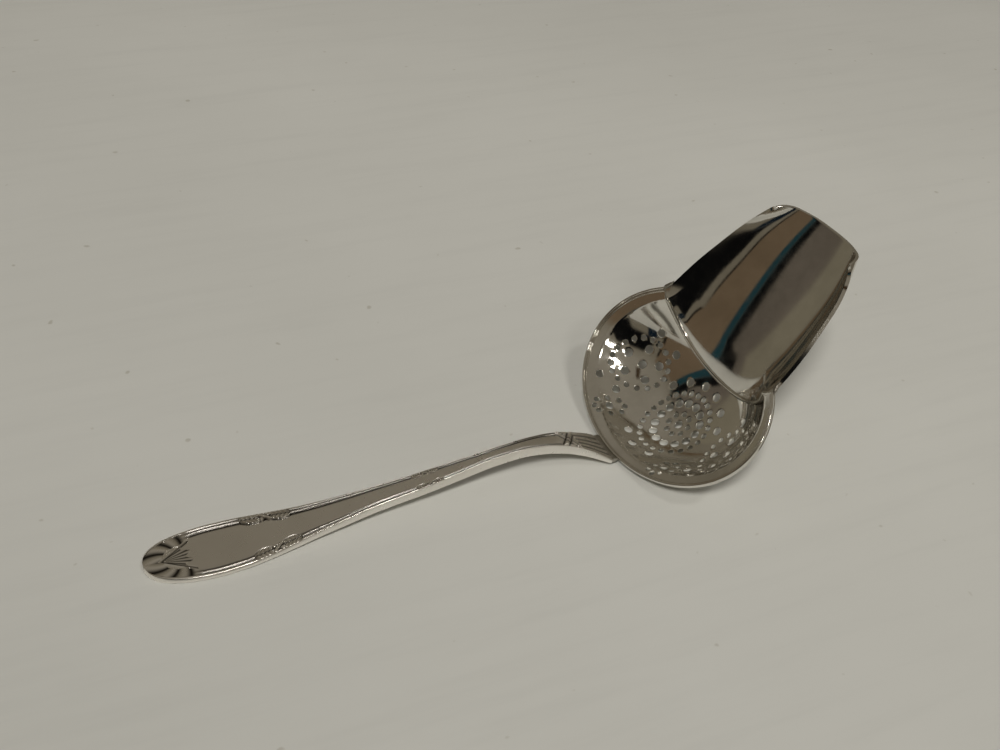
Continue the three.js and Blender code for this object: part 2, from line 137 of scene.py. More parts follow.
def spout_point(s, t):
    """Upper face of the spout: s runs across from -1 to 1, t from the inner end to the mouth."""
    s, t = np.broadcast_arrays(np.asarray(s, float), np.asarray(t, float))
    edge_u = CORNER_U + (SPOUT_END - CORNER_U) * t
    mouth_u = SPOUT_END + SPOUT_LIP * (1 - np.abs(s) ** 3)
    power = SPOUT_PROFILE_POWER + (SPOUT_PROFILE_POWER_END - SPOUT_PROFILE_POWER) * t
    depth = SPOUT_DEPTH_INNER + (SPOUT_DEPTH_END - SPOUT_DEPTH_INNER) * t ** 1.3
    free = EDGE_RISE * t - depth * (1 - np.abs(s) ** power)
    on_bowl = bowl_height(lap_u(s), s * CORNER_V) + LAP_STEP * (1 - s ** 8)
    at_lap = -SPOUT_DEPTH_INNER * (1 - np.abs(s) ** SPOUT_PROFILE_POWER)
    roll = np.maximum(0, 1 - t / SPOUT_ROLL) ** 2
    cut = SPOUT_CORNER_ROUND * np.maximum(0, 4 * np.abs(s) - 3) ** 3 * t ** 8
    u = lap_u(s) * (1 - t) + mouth_u * t - cut
    return np.stack([u, s * spout_half_width(edge_u), free + (on_bowl - at_lap) * roll], -1)


def spout_normal(s, t):
    e = 0.002
    across = spout_point(np.minimum(s + e, 1), t) - spout_point(np.maximum(s - e, -1), t)
    along = spout_point(s, np.minimum(t + e, 1)) - spout_point(s, np.maximum(t - e, 0))
    n = np.cross(along, across)
    return n / np.linalg.norm(n, axis=-1, keepdims=True)


# meshes

def new_mesh(name, points, faces, material, sharp_angle):
    """Smooth object from points in mm; edges past the angle, in degrees, stay sharp."""
    mesh = bpy.data.meshes.new(name)
    places = [tuple(p) for p in np.asarray(points) * MM]
    mesh.from_pydata(places, [], [tuple(int(i) for i in f) for f in faces])
    mesh.validate()
    mesh.update()
    for poly in mesh.polygons:
        poly.use_smooth = True
    mesh.set_sharp_from_angle(angle=math.radians(sharp_angle))
    mesh.materials.append(material)
    obj = bpy.data.objects.new(name, mesh)
    bpy.context.scene.collection.objects.link(obj)
    return obj


def sweep(rings):
    """Closed solid from rings of points; the ring runs round the section."""
    rings = np.asarray(rings)
    rows, cols = rings.shape[:2]
    faces = []
    for i in range(rows - 1):
        for j in range(cols):
            k = (j + 1) % cols
            faces.append((i * cols + j, i * cols + k, (i + 1) * cols + k, (i + 1) * cols + j))
    faces.append(tuple(range(cols - 1, -1, -1)))
    faces.append(tuple((rows - 1) * cols + j for j in range(cols)))
    return rings.reshape(-1, 3), faces


def face_outward(obj):
    """Turns all faces out, by the sign of the enclosed volume."""
    mesh = obj.data
    mesh.calc_loop_triangles()
    co = np.array([v.co for v in mesh.vertices])
    tri = np.array([t.vertices for t in mesh.loop_triangles])
    a, b, c = co[tri[:, 0]], co[tri[:, 1]], co[tri[:, 2]]
    if np.einsum("ij,ij->i", a, np.cross(b, c)).sum() < 0:
        mesh.flip_normals()
    return obj


def rounded_sheet(outer, inner):
    """Sheet between two grids, with half-round edges along the first and last rows."""
    steps = 5

    def cap_rows(o, i, o_next):
        middle = (o + i) / 2
        half = (o - i) / 2
        out = o - o_next
        out -= half * (np.sum(out * half, -1, keepdims=True) / np.sum(half * half, -1, keepdims=True))
        out /= np.linalg.norm(out, axis=-1, keepdims=True)
        radius = np.linalg.norm(half, axis=-1, keepdims=True)
        rows = []
        for k in range(1, steps):
            a = math.pi * k / steps
            rows.append(middle + half * math.cos(a) + out * radius * math.sin(a) * 0.8)
        return rows
    first = cap_rows(outer[0], inner[0], outer[1])
    last = cap_rows(outer[-1], inner[-1], outer[-2])
    loop = list(first[::-1]) + list(outer) + list(last) + list(inner[::-1])
    rings = np.stack(loop, 0)
    rows, cols = rings.shape[:2]
    points = rings.reshape(-1, 3)
    faces = []
    for i in range(rows):
        n = (i + 1) % rows
        for j in range(cols - 1):
            faces.append((i * cols + j, i * cols + j + 1, n * cols + j + 1, n * cols + j))
    side = len(first)
    count = len(outer)
    for j, flip in ((0, False), (cols - 1, True)):
        for i in range(count - 1):
            a = side + i
            b = side + i + 1
            c = rows - 2 - i
            d = rows - 1 - i
            quad = (a * cols + j, b * cols + j, c * cols + j, d * cols + j)
            faces.append(quad[::-1] if flip else quad)
        low = list(range(side, -1, -1)) + [rows - 1]
        end = side + count - 1
        high = list(range(end, end + len(last) + 2))
        for cap_ring in (low, high):
            poly = tuple(i * cols + j for i in cap_ring)
            faces.append(poly if flip == (cap_ring is low) else poly[::-1])
    return points, faces


# piercing pattern: rings of holes laid out on the flat

def hole_list():
    holes = []

    def add(u, flat, size):
        v = flat
        for _ in range(6):
            v = flat / (1 + 0.13 * abs(v / BOWL_HALF_WIDTH) ** 3)
        if all(math.hypot(q[0] - u, q[1] - v) > (q[2] + size) / 2 + 0.3 for q in holes):
            holes.append((u, v, size))

    def arc(cu, cv, radius, angles, side, size):
        for deg in angles:
            a = math.radians(deg)
            add(cu + radius * math.cos(a), cv + side * radius * math.sin(a), size)

    middle = -6.7
    add(middle, 0, BIG_HOLE)
    arc(middle, 0, 2.75, [22.5 + 45 * k for k in range(8)], 1, SMALL_HOLE)
    arc(middle, 0, 5.6, [360 * k / 14 for k in range(14)], 1, BIG_HOLE)
    arc(middle, 0, 8.1, [360 * k / 25 for k in range(25)], 1, SMALL_HOLE)
    arc(middle, 0, 10.9, range(-60, 61, 12), 1, BIG_HOLE)
    arc(middle, 0, 9.9, [-152, -126, -100, 100, 126, 152, 180], 1, BIG_HOLE)
    for side in (-1, 1):
        across = side * 18.7
        add(-3, across, BIG_HOLE)
        arc(-3, across, 4.0, [21 + 72 * k for k in range(5)], side, BIG_HOLE)
        arc(-3, across, 6.3, [20 * k for k in range(18)], side, SMALL_HOLE)
        arc(-3, across, 8.6, [-32, 8, 165, 196], side, BIG_HOLE)
        add(-14.8, side * 12.4, BIG_HOLE)
        arc(-14.8, side * 12.4, 2.4, [22.5 + 45 * k for k in range(8)], 1, SMALL_HOLE)
    return holes


def shell_point(u, v, depth):
    n = bowl_normal(u, v)
    h = bowl_height(u, v)
    return head(u - n[..., 0] * depth, v - n[..., 1] * depth, h - n[..., 2] * depth)


def bowl_mesh(material):
    """Pierced sheet: the flat layout is meshed round the holes, then bent into the dish."""
    holes = hole_list()
    half_l = BOWL_HALF_LENGTH - 0.45
    half_w = BOWL_HALF_WIDTH - 0.45

    def share(u, v):
        return np.hypot(u / half_l, v / half_w)

    def lap_edge(v):
        return lap_u(v / CORNER_V) - 0.1
    # the sheet's outline: round the rim, then back along the lap
    end = max(v for v in np.linspace(18, 22, 400) if share(lap_edge(v), v) < 1)
    split_angle = math.atan2(end / half_w, lap_edge(end) / half_l)
    verts = [(half_l * math.cos(t), half_w * math.sin(t))
             for t in np.linspace(split_angle, 2 * math.pi - split_angle, 260)]
    verts += [(float(lap_edge(v)), v) for v in np.linspace(-end, end, 112)[1:-1]]
    edges = [(i, (i + 1) % len(verts)) for i in range(len(verts))]

    # each hole is round on the bent sheet, so its plan is a circle seen aslant
    plans = []
    rings = []
    for u, v, size in holes:
        n = bowl_normal(u, v)
        t1 = np.array([n[2], 0, -n[0]]) / math.hypot(n[0], n[2])
        t2 = np.cross(n, t1)
        plan = np.array([t1[:2], t2[:2]]).T
        plans.append(np.linalg.inv(plan))
        count = 26 if size > 1.6 else 20
        a = 2 * math.pi * np.arange(count) / count
        circle = plan @ np.array([np.cos(a), np.sin(a)])
        base = len(verts)
        r = size / 2 + 0.08
        verts += [(u + r * x, v + r * y) for x, y in circle.T]
        edges += [(base + k, base + (k + 1) % count) for k in range(count)]
        rings.append((base, count, u, v, size, circle))
    plans = np.array(plans)
    centres = np.array([h[:2] for h in holes])
    radii = np.array([h[2] / 2 + 0.08 for h in holes])

    def hole_clearance(u, v):
        d = np.array([u, v]) - centres
        return np.min(np.linalg.norm(np.einsum("kij,kj->ki", plans, d), axis=1) - radii)
    pitch = 0.46
    row = 0
    u = -BOWL_HALF_LENGTH
    while u < CORNER_U:
        shift = 0.5 * pitch * (row % 2)
        for v in np.arange(-BOWL_HALF_WIDTH + shift, BOWL_HALF_WIDTH, pitch):
            if share(u, v) < 0.985 and u < lap_edge(v) - 0.22 and hole_clearance(u, v) > 0.12:
                verts.append((u, v))
        row += 1
        u += pitch * 0.866
    out = delaunay_2d_cdt([Vector(p) for p in verts], edges, [], 0, 1e-6)
    flat = np.array([tuple(p) for p in out[0]])
    remap = {}
    for new, origins in enumerate(out[3]):
        for old in origins:
            remap[old] = new
    tris = []
    for f in out[2]:
        c = flat[list(f)].mean(0)
        if share(c[0], c[1]) < 1 and c[0] < lap_edge(c[1]) and hole_clearance(c[0], c[1]) > -0.02:
            tris.append(tuple(f))
    count = len(flat)
    points = [shell_point(flat[:, 0], flat[:, 1], 0), shell_point(flat[:, 0], flat[:, 1], SHEET)]
    faces = tris + [tuple(count + i for i in reversed(t)) for t in tris]
    used = {(t[i], t[(i + 1) % 3]) for t in tris for i in range(3)}
    border = [(a, b) for (a, b) in used if (b, a) not in used]
    hole_border = set()
    extra = 2 * count
    for base, n, hu, hv, size, circle in rings:
        ids = [remap[base + k] for k in range(n)]
        hole_border.update(ids)
        layers = [ids]
        for grow, depth in HOLE_EDGE:
            r = size / 2 + grow
            points.append(shell_point(hu + r * circle[0], hv + r * circle[1], depth))
            layers.append(list(range(extra, extra + n)))
            extra += n
        layers.append([count + i for i in ids])
        for a, b in zip(layers[:-1], layers[1:]):
            for k in range(n):
                m = (k + 1) % n
                faces.append((a[k], a[m], b[m], b[k]))
    for a, b in border:
        if a in hole_border and b in hole_border:
            continue
        faces.append((b, a, count + a, count + b))
    return face_outward(new_mesh("bowl_sheet", np.concatenate(points), faces, material, 50))


def rim_mesh(material):
    """Applied rim with a fine groove between two threads."""
    section = []
    for k in range(13):
        a = math.pi * (1 - k / 12)
        section.append((0.32 + 0.32 * math.cos(a), 0.06 + 0.32 * math.sin(a)))
    for k in range(1, 10):
        a = math.pi * (1 - k / 9)
        section.append((0.88 + 0.20 * math.cos(a), -0.16 + 0.16 * math.sin(a)))
    section += [(1.06, -0.3), (0.9, -0.42), (0.25, -0.42), (0.04, -0.3)]
    rings = []
    start = CORNER_ANGLE + 0.012
    for t in np.linspace(start, 2 * math.pi - start, 420):
        c, s = math.cos(t), math.sin(t)
        out = np.array([c / BOWL_HALF_LENGTH, s / BOWL_HALF_WIDTH])
        out /= np.linalg.norm(out)
        u0, v0 = BOWL_HALF_LENGTH * c, BOWL_HALF_WIDTH * s
        rings.append([head(u0 - out[0] * w, v0 - out[1] * w, h) for w, h in section])
    points, faces = sweep(rings)
    return face_outward(new_mesh("rim_thread", points, faces, material, 55))


def spout_mesh(material):
    rows = np.concatenate([np.linspace(0, 0.24, 60)[:-1], np.linspace(0.24, 0.996, 120)])[:, None]
    s = (np.sin(np.linspace(-0.5, 0.5, 181) * math.pi) * 0.99)[None, :]
    upper = spout_point(s, rows)
    n = spout_normal(s, rows)
    lower = upper - n * SHEET
    points, faces = rounded_sheet(head(*np.moveaxis(upper, -1, 0)), head(*np.moveaxis(lower, -1, 0)))
    return face_outward(new_mesh("spout_sheet", points, faces, material, 50))


def lap_mesh(material):
    """Low rounded bead of solder, burnished bright, along the spout's inner end."""
    rng = np.random.default_rng(5)
    reach = 0.955
    s = np.linspace(-reach, reach, 260)
    wobble = np.convolve(rng.normal(0, 1, len(s) + 24), np.ones(25) / 25, "valid")
    p = spout_point(s, 0.0)
    n = spout_normal(s, 0.0) + bowl_normal(lap_u(s), s * CORNER_V)
    n /= np.linalg.norm(n, axis=-1, keepdims=True)
    run = np.gradient(p, axis=0)
    across = np.cross(run, n)
    across /= np.linalg.norm(across, axis=-1, keepdims=True)
    if across[len(s) // 2, 0] < 0:
        across = -across
    taper = np.clip((reach - np.abs(s)) / 0.06, 0.12, 1) ** 0.5
    rings = []
    for k in range(14):
        a = 2 * math.pi * k / 14
        w = (0.12 + 0.50 * math.cos(a) * (1 + 0.12 * wobble)) * taper
        h = (0.10 + 0.34 * math.sin(a)) * taper
        q = p + across * w[:, None] + n * h[:, None]
        rings.append(head(*np.moveaxis(q, -1, 0)))
    points, faces = sweep(np.stack(rings, 1))
    return face_outward(new_mesh("lap_bead", points, faces, material, 60))


def corner_mesh(side, material):
    """Solder filling the notch where the spout's edge meets the rim's end."""
    rng = np.random.default_rng(4 if side < 0 else 9)
    us = np.linspace(CORNER_U - 0.75, CORNER_U + 2.3, 36)
    wobble = np.convolve(rng.normal(0, 1, len(us) + 4), np.ones(5) / 5, "valid") * 0.12
    rings = []
    for u, w in zip(us, wobble):
        k = (u - us[0]) / (us[-1] - us[0])
        half = float(spout_half_width(u)) + max(0, CORNER_U - u) * 0.62
        size = 0.16 + 0.5 * math.sin(math.pi * min(1, 0.12 + 0.88 * k)) ** 0.8
        ring = []
        for j in range(12):
            a = 2 * math.pi * j / 12
            v = half + (size * 0.9 + w) * math.cos(a)
            h = -0.12 + (size * 0.75 + w) * math.sin(a)
            ring.append(head(u, side * v, h))
        rings.append(ring)
    points, faces = sweep(rings)
    name = "near_corner" if side < 0 else "far_corner"
    return face_outward(new_mesh(name, points, faces, material, 60))


# handle

# places along the handle, measured from the head's middle
TIP_X = -120.2
END_X = -16.2
TIP_ROUND_X = -113.0
V_APEX_X = -116.55
V_END_X = -108.6
LOBES_X = -113.2
RIBBONS = ((-94.08, 1.0), (-59.68, 0.62))
NECK_TIE_X = -25.5
NECK_LEAF_X = -23.2

# half width, top line and thickness at stations along the handle
HALF_WIDTH = through([
    (TIP_X, 0.9), (-119.7, 2.4), (-118.2, 4.3), (-115.2, 6.0), (-111, 7.0), (-106, 7.4), (-101, 7.2),
    (-96, 6.5), (-91, 5.6), (-86, 4.7), (-80, 3.9), (-73, 3.15), (-66, 2.75), (-60, 2.5), (-53, 2.1),
    (-46, 1.75), (-40, 1.75), (-33, 2.1), (-27, 2.7), (-22, 3.5), (-18.8, 4.3), (END_X, 4.9)])
TOP_LINE = through([
    (TIP_X, 1.55), (-112, 1.55), (-104, 1.65), (-94, 2.15), (-84, 3.15), (-72, 4.65), (-60, 6.05),
    (-50, 7.55), (-43, 8.55), (-37, 8.95), (-32, 8.65), (-27, 7.65), (-22.5, 5.85), (-19, 4.05),
    (END_X, 2.35)])
THICKNESS = through([
    (TIP_X, 1.55), (-104, 1.55), (-80, 2.0), (-60, 2.3), (-43, 2.6), (-30, 2.6), (-20, 1.9), (END_X, 1.5)])


def bump(x, width):
    return np.clip(1 - (x / width) ** 2, 0, None)


def ridge(x, width):
    return np.exp(-(x / width) ** 2)


def relief(x, y):
    """Ornament of the handle's face: height against the border's top in mm, and tarnish from 0 to 1."""
    w = HALF_WIDTH(x)
    # distance in from the edge; at the tip it follows the round end
    e = w - np.abs(y)
    tip_radius = np.hypot(x - TIP_ROUND_X, y * 0.96)
    e = np.where(x < TIP_ROUND_X, np.minimum(e, 7.15 - tip_radius + 0.35), e)
    scale = np.clip(w / 5.2, 0.42, 1.0)
    s = e / scale
    z = np.zeros_like(x)
    # two threads with grooves between, then the sunk panel
    z -= 0.30 * ridge(s - 0.95, 0.24)
    z -= 0.34 * ridge(s - 1.85, 0.26)
    dark = np.maximum(ridge(s - 0.95, 0.32), ridge(s - 1.85, 0.36))
    z += 0.04 * ridge(s - 0.45, 0.35) + 0.03 * ridge(s - 1.4, 0.28)
    panel = 1 / (1 + np.exp(-(s - 2.0) / 0.07))
    z -= 0.30 * panel * np.clip(scale * 1.2, 0, 1)
    # crossed ribbons with leaf ends
    for centre, reach in RIBBONS:
        length = (x - centre) / reach
        middle = np.maximum(w - 1.35 * scale, 0.55 * w)
        q = (np.abs(y) - middle) / (scale * 1.05)
        out = np.abs(length)
        leaf_width = 1.25 * np.sqrt(np.clip(1 - ((out - 2.9) / 2.4) ** 2, 0, 1))
        leaf = np.clip((leaf_width - np.abs(q)) / 0.18, 0, 1) * (out > 0.75)
        serrate = 0.10 * np.sin((out * 3.6 + np.abs(q) * 2.4) * 2.0)
        vein = 0.14 * ridge(q, 0.14)
        z = np.where(leaf > 0, z * (1 - leaf) + leaf * (-0.02 + serrate - vein), z)
        border = ridge(leaf_width - np.abs(q) + 0.12, 0.14) * (out < 5.2) * (out > 0.75)
        z -= 0.25 * border
        veins = np.maximum(ridge(q, 0.14), -4 * serrate)
        dark = np.maximum(dark * (1 - leaf), np.maximum(border, leaf * veins))
        for sign in (-1, 1):
            across = (length * 0.75 + sign * q) / 1.25
            along = (length * 0.75 - sign * q) / 1.25
            band = np.clip((0.36 - np.abs(across)) / 0.12, 0, 1) * (np.abs(along) < 1.35)
            raised = 0.16 - 0.10 * (across / 0.36) ** 2
            z = np.where(band > 0, np.maximum(z, -0.30) * (1 - band) + band * raised, z)
            cut = ridge(np.abs(across) - 0.46, 0.10) * (np.abs(along) < 1.25) * (band <= 0)
            z -= 0.28 * cut
            dark = np.maximum(dark * (1 - band), cut)
    # V and fan of the tip
    dx = x - V_APEX_X
    arm = np.abs(y) - dx * 0.66
    in_tip = x < V_END_X
    arm_mask = in_tip * (dx > -0.3) * (dx < 6.2)
    z -= 0.42 * ridge(arm, 0.20) * arm_mask
    z += 0.12 * ridge(arm - 0.45, 0.22) * arm_mask
    dark = np.maximum(dark, ridge(arm, 0.20) * arm_mask)
    fan_r = np.hypot(dx, y)
    fan_a = np.arctan2(np.abs(y), np.maximum(dx, 1e-6))
    inside_v = in_tip * (arm < -0.15) * (dx > 0.4) * (fan_r < 5.4 - 0.7 * np.cos(fan_a * 14))
    ray = 0.5 + 0.5 * np.cos(fan_a * 2 * math.pi / 0.19)
    fan_z = -0.34 + 0.10 * ray * np.clip(fan_r / 3.5, 0.25, 1)
    z = np.where(inside_v > 0, fan_z, z)
    dark = np.where(inside_v > 0, (1 - ray) ** 1.5, dark)
    # acanthus lobes between the V and the edge
    a = np.arctan2(np.abs(y), -(x - LOBES_X))
    rr = np.hypot(x - LOBES_X, y)
    zone = (x < -109.5) * (arm > 0.55) * (rr > 3.2) * (s > 0.75)
    lobes = 0.5 + 0.5 * np.cos(a * 9.5 + rr * 0.9)
    fade = np.clip((-109.2 - x) / 2.5, 0, 1)
    z = np.where(zone > 0, z * (1 - fade) + fade * (-0.34 + 0.28 * lobes ** 0.7), z)
    dark = np.where(zone > 0, dark * (1 - fade) + fade * (1 - lobes) ** 2, dark)
    # neck ornament: a tie, then a leaf whose ribs spread towards the bowl
    d = x - NECK_TIE_X
    tie = bump(d, 2.6)
    q = y / np.maximum(w, 0.1)
    cross_a = np.abs(d / 2.4 - q * 0.9)
    cross_b = np.abs(d / 2.4 + q * 0.9)
    bands = np.maximum(ridge(cross_a, 0.16), ridge(cross_b, 0.16))
    cuts = np.maximum(ridge(cross_a - 0.34, 0.10), ridge(cross_b - 0.34, 0.10))
    z = np.where(tie > 0, np.maximum(z, -0.22) + 0.22 * bands - 0.16 * cuts, z)
    dark = np.where(tie > 0, np.maximum(ridge(cross_a - 0.34, 0.12), ridge(cross_b - 0.34, 0.12)), dark)
    leaf = x > NECK_LEAF_X
    ribs = 0.5 + 0.5 * np.cos(q * math.pi * 5.0)
    z = np.where(leaf, -0.20 + 0.20 * ribs - 0.05 * ridge(s - 0.9, 0.2), z)
    dark = np.where(leaf, 0.8 * (1 - ribs) ** 2, dark)
    return z, np.clip(dark, 0, 1)


def handle_mesh(material):
    """The handle's blade: a ring of points round the section at each station along it."""
    xs = np.concatenate([
        TIP_X + 1.8 * (np.linspace(0, 1, 26) ** 2), np.linspace(-118.3, -108.0, 210)[:-1],
        np.linspace(-108.0, -100.5, 60)[:-1], np.linspace(-100.5, -88.0, 210)[:-1],
        np.linspace(-88.0, -64.5, 110)[:-1], np.linspace(-64.5, -55.0, 150)[:-1],
        np.linspace(-55.0, -29.0, 120)[:-1], np.linspace(-29.0, END_X, 150)])
    xs = np.unique(np.round(xs, 5))
    cols = 121
    across = np.sin(np.linspace(-0.5, 0.5, cols) * math.pi)
    across = 0.5 * across + 0.5 * np.linspace(-1, 1, cols)
    slope = (TOP_LINE(xs + 0.05) - TOP_LINE(xs - 0.05)) / 0.1
    norm = np.stack([-slope, np.ones_like(slope)], -1)
    norm /= np.linalg.norm(norm, axis=-1, keepdims=True)
    w = HALF_WIDTH(xs)
    y = w[:, None] * across[None, :] * 0.965
    x2 = np.broadcast_to(xs[:, None], y.shape)
    d, dark = relief(x2, y)
    edge = np.clip(np.abs(across) ** 24, 0, 1)[None, :]
    d = d * (1 - edge) - 0.10 * edge
    t = THICKNESS(xs)[:, None]
    side = []
    for k in range(1, 9):
        a = k / 9
        bulge = math.sin(a * math.pi) ** 0.8
        side.append((0.965 + 0.035 * bulge, a))
    bottom = np.linspace(1, -1, 41)
    rings = []
    for i, x in enumerate(xs):
        pts = []
        top = float(TOP_LINE(x))
        n = norm[i]
        for j in range(cols):
            pts.append((x + n[0] * d[i, j], y[i, j], top + n[1] * d[i, j]))
        tt = float(t[i, 0])
        for f, a in side:
            depth = -0.10 - (tt - 0.30) * a * 0.9
            pts.append((x + n[0] * depth, w[i] * f, top + n[1] * depth))
        for b in bottom:
            depth = -tt + 0.26 * abs(b) ** 6
            pts.append((x + n[0] * depth, w[i] * 0.965 * b, top + n[1] * depth))
        for f, a in reversed(side):
            depth = -0.10 - (tt - 0.30) * a * 0.9
            pts.append((x + n[0] * depth, -w[i] * f, top + n[1] * depth))
        rings.append(pts)
    rings = np.array(rings)
    rings[..., 0] += HEAD_SHIFT
    rings[..., 2] = np.maximum(rings[..., 2], 0.0)
    points, faces = sweep(rings)
    tarnish = np.zeros(rings.shape[:2])
    tarnish[:, :cols] = dark * (1 - edge)
    obj = new_mesh("handle_blade", points, faces, material, 42)
    obj.data.attributes.new("tarnish", "FLOAT", "POINT").data.foreach_set("value", tarnish.ravel())
    return face_outward(obj)


def handle_joint_mesh(material):
    """Fillet of solder between the handle's end and the rim."""
    rng = np.random.default_rng(3)
    rings = []
    for y in np.linspace(-4.6, 4.6, 60):
        u0 = -BOWL_HALF_LENGTH * math.sqrt(1 - (y / BOWL_HALF_WIDTH) ** 2)
        p = head(u0, y, 0.0)
        near = p[0] - 0.15
        far = END_X + HEAD_SHIFT - 0.35
        z0 = float(p[2])
        jitter = rng.normal(0, 0.03)
        ring = []
        for k in range(12):
            a = 2 * math.pi * k / 12
            cx = (near + far) / 2
            ring.append((cx + (near - far) / 2 * math.cos(a), y, z0 + 0.35 + (0.42 + jitter) * math.sin(a)))
        rings.append(ring)
    points, faces = sweep(rings)
    return face_outward(new_mesh("handle_joint", points, faces, material, 60))


# materials

def new_material(name):
    mat = bpy.data.materials.new(name)
    mat.use_nodes = True
    return mat, mat.node_tree, mat.node_tree.nodes["Principled BSDF"]


def node(tree, kind, **values):
    """New node; a value goes to the input of that name, or else to the node's own setting."""
    n = tree.nodes.new(kind)
    for key, value in values.items():
        if key in n.inputs:
            n.inputs[key].default_value = value
        else:
            setattr(n, key, value)
    return n


def ramp(tree, source, stops):
    n = tree.nodes.new("ShaderNodeValToRGB")
    while len(n.color_ramp.elements) > 1:
        n.color_ramp.elements.remove(n.color_ramp.elements[-1])
    n.color_ramp.elements[0].position = stops[0][0]
    n.color_ramp.elements[0].color = (*stops[0][1], 1)
    for pos, colour in stops[1:]:
        el = n.color_ramp.elements.new(pos)
        el.color = (*colour, 1)
    tree.links.new(source, n.inputs["Fac"])
    return n


def silver(name, colour, dark, rough_low, rough_high, scratch, dent, grain, tarnished=False):
    """Worn silver, clouded from dark to colour; scratch, dent and grain are bump strengths."""
    mat, tree, shader = new_material(name)
    coords = node(tree, "ShaderNodeTexCoord")
    link = tree.links.new
    cloud = node(tree, "ShaderNodeTexNoise", Scale=90.0, Detail=6.0, Roughness=0.6)
    link(coords.outputs["Object"], cloud.inputs["Vector"])
    tint = ramp(tree, cloud.outputs["Fac"], [(0.35, dark), (0.62, colour)])
    shade = tint.outputs["Color"]
    if tarnished:
        tarnish = node(tree, "ShaderNodeAttribute", attribute_name="tarnish")
        mix = node(tree, "ShaderNodeMix", data_type="RGBA")
        link(tarnish.outputs["Fac"], mix.inputs["Factor"])
        link(shade, mix.inputs[6])
        mix.inputs[7].default_value = (*TARNISH, 1)
        shade = mix.outputs[2]
    link(shade, shader.inputs["Base Color"])
    shader.inputs["Metallic"].default_value = 1.0
    rough = node(tree, "ShaderNodeMapRange")
    fine = node(tree, "ShaderNodeTexNoise", Scale=420.0, Detail=4.0, Roughness=0.6)
    link(coords.outputs["Object"], fine.inputs["Vector"])
    link(fine.outputs["Fac"], rough.inputs["Value"])
    rough.inputs["From Min"].default_value = 0.3
    rough.inputs["From Max"].default_value = 0.75
    rough.inputs["To Min"].default_value = rough_low
    rough.inputs["To Max"].default_value = rough_high
    link(rough.outputs["Result"], shader.inputs["Roughness"])
    stretch = node(tree, "ShaderNodeMapping")
    stretch.inputs["Scale"].default_value = (900.0, 120.0, 900.0)
    stretch.inputs["Rotation"].default_value = (0.3, 0.5, 0.9)
    link(coords.outputs["Object"], stretch.inputs["Vector"])
    lines = node(tree, "ShaderNodeTexNoise", Scale=1.0, Detail=3.0, Roughness=0.7)
    link(stretch.outputs["Vector"], lines.inputs["Vector"])
    dents = node(tree, "ShaderNodeTexNoise", Scale=55.0, Detail=2.0, Roughness=0.4)
    link(coords.outputs["Object"], dents.inputs["Vector"])
    speck = node(tree, "ShaderNodeTexNoise", Scale=2500.0, Detail=2.0, Roughness=0.5)
    link(coords.outputs["Object"], speck.inputs["Vector"])
    b1 = node(tree, "ShaderNodeBump", Strength=dent, Distance=0.0006)
    link(dents.outputs["Fac"], b1.inputs["Height"])
    b2 = node(tree, "ShaderNodeBump", Strength=scratch, Distance=0.00003)
    link(lines.outputs["Fac"], b2.inputs["Height"])
    link(b1.outputs["Normal"], b2.inputs["Normal"])
    b3 = node(tree, "ShaderNodeBump", Strength=grain, Distance=0.00002)
    link(speck.outputs["Fac"], b3.inputs["Height"])
    link(b2.outputs["Normal"], b3.inputs["Normal"])
    link(b3.outputs["Normal"], shader.inputs["Normal"])
    return mat


TARNISH = (0.035, 0.03, 0.025)
bowl_silver = silver(
    "bowl silver", (0.86, 0.84, 0.79), (0.74, 0.72, 0.67), 0.05, 0.12, 0.15, 0.05, 0.05)
spout_silver = silver(
    "spout silver", (0.82, 0.80, 0.75), (0.70, 0.68, 0.63), 0.06, 0.14, 0.2, 0.05, 0.05)
handle_silver = silver(
    "handle silver", (0.95, 0.92, 0.87), (0.90, 0.87, 0.82), 0.26, 0.34, 0.15, 0.04, 0.1, True)
bead_silver = silver(
    "burnished solder", (0.80, 0.78, 0.72), (0.62, 0.60, 0.54), 0.10, 0.22, 0.3, 0.2, 0.1)
joint_solder = silver(
    "solder", (0.52, 0.50, 0.45), (0.34, 0.32, 0.28), 0.28, 0.5, 0.4, 0.5, 0.3)


# pieces on the frame

pieces = [
    (bowl_mesh(bowl_silver), "bowl", "polished_silver"),
    (rim_mesh(bowl_silver), "bowl_rim", "polished_silver"),
    (spout_mesh(spout_silver), "spout", "polished_silver"),
    (lap_mesh(bead_silver), "lap_solder", "solder"),
    (corner_mesh(-1, joint_solder), "corner_solder_near", "solder"),
    (corner_mesh(1, joint_solder), "corner_solder_far", "solder"),
    (handle_mesh(handle_silver), "handle", "satin_silver"),
    (handle_joint_mesh(joint_solder), "handle_solder", "solder")]
for piece, cad_node, slot in pieces:
    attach(piece, "root")
    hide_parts(cad_node)


# table, light and camera

